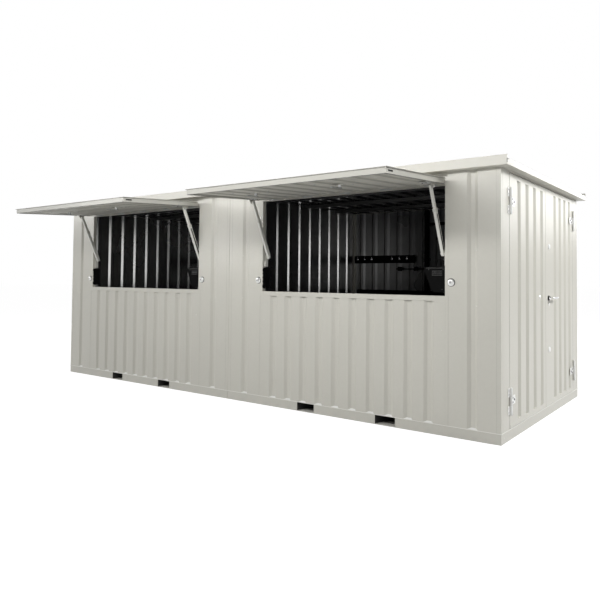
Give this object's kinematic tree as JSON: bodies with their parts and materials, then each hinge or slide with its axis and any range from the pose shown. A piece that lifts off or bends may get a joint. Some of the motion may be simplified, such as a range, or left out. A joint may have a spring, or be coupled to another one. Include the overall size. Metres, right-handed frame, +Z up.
{
  "type": "container bar",
  "caption": "Sheet-steel serving container of two joined modules with lift-up hatches on stays, a double door in one end wall, a ribbed roof and a rail base with fork pockets",
  "frame": {"origin": "middle of the footprint on the ground, at the underside of the base rails", "axes": "+X along the length towards the door end, -Y the serving front, +Z up"},
  "size_m": [6.224, 3.5287, 2.29],
  "materials": {
    "wall_paint": "satin",
    "base_paint": "satin",
    "end_wall_paint": "satin",
    "inner_wall": "gloss",
    "floor_steel": "satin",
    "frame_steel": "matt",
    "seal": "matt",
    "trim": "satin",
    "zinc": "galvanised",
    "hatch_paint": "satin",
    "bright_steel": "bright",
    "chrome": "polished",
    "black_plastic": "satin",
    "dark_board": "satin",
    "hinge_paint": "satin",
    "black_plate": "satin",
    "roof_steel": "satin"
  },
  "bodies": {
    "root": {"long_rails": "base_paint", "end_rails": "base_paint", "floor_plates": "floor_steel", "floor_joists": "frame_steel", "corner_posts": "wall_paint", "seam_strips": "seal", "front_sides": "wall_paint", "front_apron_left": "wall_paint", "front_apron_right": "wall_paint", "front_headers": "wall_paint", "window_frame_left": "wall_paint", "window_frame_right": "wall_paint", "rear_wall_left": "wall_paint", "rear_wall_right": "wall_paint", "left_end_wall": "end_wall_paint", "middle_wall": "inner_wall", "roof_left": "roof_steel", "roof_right": "roof_steel", "front_fascia_left": "wall_paint", "front_fascia_right": "wall_paint", "rear_fascia": "wall_paint", "end_flanges": "wall_paint", "drip_strips": "trim", "hatch_hinges": "zinc", "stay_brackets": "zinc", "latch_knobs": "chrome", "lock_boxes": "black_plastic", "hook_rails": "dark_board", "door_jambs": "wall_paint", "door_header": "wall_paint", "door_hinges": "hinge_paint"},
    "hatch_left": {"hatch_frame_left": "wall_paint", "hatch_sheet_left": "hatch_paint"},
    "tubes_left": {"stay_tubes_left": "zinc"},
    "rods_left": {"stay_rods_left": "bright_steel"},
    "hatch_right": {"hatch_frame_right": "wall_paint", "hatch_sheet_right": "hatch_paint"},
    "tubes_right": {"stay_tubes_right": "zinc"},
    "rods_right": {"stay_rods_right": "bright_steel"},
    "door_front": {"door_leaf_front": "wall_paint", "hinge_straps_front": "hinge_paint"},
    "door_rear": {"door_leaf_rear": "wall_paint", "hinge_straps_rear": "hinge_paint", "handle_plate": "black_plate"},
    "handle": {"door_handle": "chrome"}
  },
  "joints": [
    {"name": "hatch_left_swing", "type": "hinge", "parent": "root", "child": "hatch_left", "pos_m": [-1.516, -1.252, 2.13], "axis": [1, 0, 0], "range_deg": [0, 86.8]},
    {"name": "stays_left_swing", "type": "hinge", "parent": "root", "child": "tubes_left", "pos_m": [-1.516, -1.173, 1.525], "axis": [1, 0, 0], "range_deg": [-21, 0]},
    {"name": "stays_left_slide", "type": "slide", "parent": "tubes_left", "child": "rods_left", "axis": [0, -0.4017, 0.9158], "range_m": [-0.151, 0]},
    {"name": "hatch_right_swing", "type": "hinge", "parent": "root", "child": "hatch_right", "pos_m": [1.516, -1.252, 2.13], "axis": [1, 0, 0], "range_deg": [0, 86.8]},
    {"name": "stays_right_swing", "type": "hinge", "parent": "root", "child": "tubes_right", "pos_m": [1.516, -1.173, 1.525], "axis": [1, 0, 0], "range_deg": [-21, 0]},
    {"name": "stays_right_slide", "type": "slide", "parent": "tubes_right", "child": "rods_right", "axis": [0, -0.4017, 0.9158], "range_m": [-0.151, 0]},
    {"name": "door_front_swing", "type": "hinge", "parent": "root", "child": "door_front", "pos_m": [3.044, -1.025, 1.1], "axis": [0, 0, -1], "range_deg": [0, 170]},
    {"name": "door_rear_swing", "type": "hinge", "parent": "root", "child": "door_rear", "pos_m": [3.044, 1.025, 1.1], "axis": [0, 0, 1], "range_deg": [0, 170]},
    {"name": "handle_turn", "type": "hinge", "parent": "door_rear", "child": "handle", "pos_m": [3.03, 0.09, 1.13], "axis": [-1, 0, 0], "range_deg": [0, 40], "stiffness_Nm_per_rad": 4, "springref_deg": -20.05}
  ],
  "couplings": [
    {"joint": "stays_left_swing", "follows": "hatch_left_swing", "ratio": -0.23562},
    {"joint": "stays_left_slide", "follows": "hatch_left_swing", "m_per_rad": -0.09781},
    {"joint": "stays_right_swing", "follows": "hatch_right_swing", "ratio": -0.23562},
    {"joint": "stays_right_slide", "follows": "hatch_right_swing", "m_per_rad": -0.09781}
  ]
}
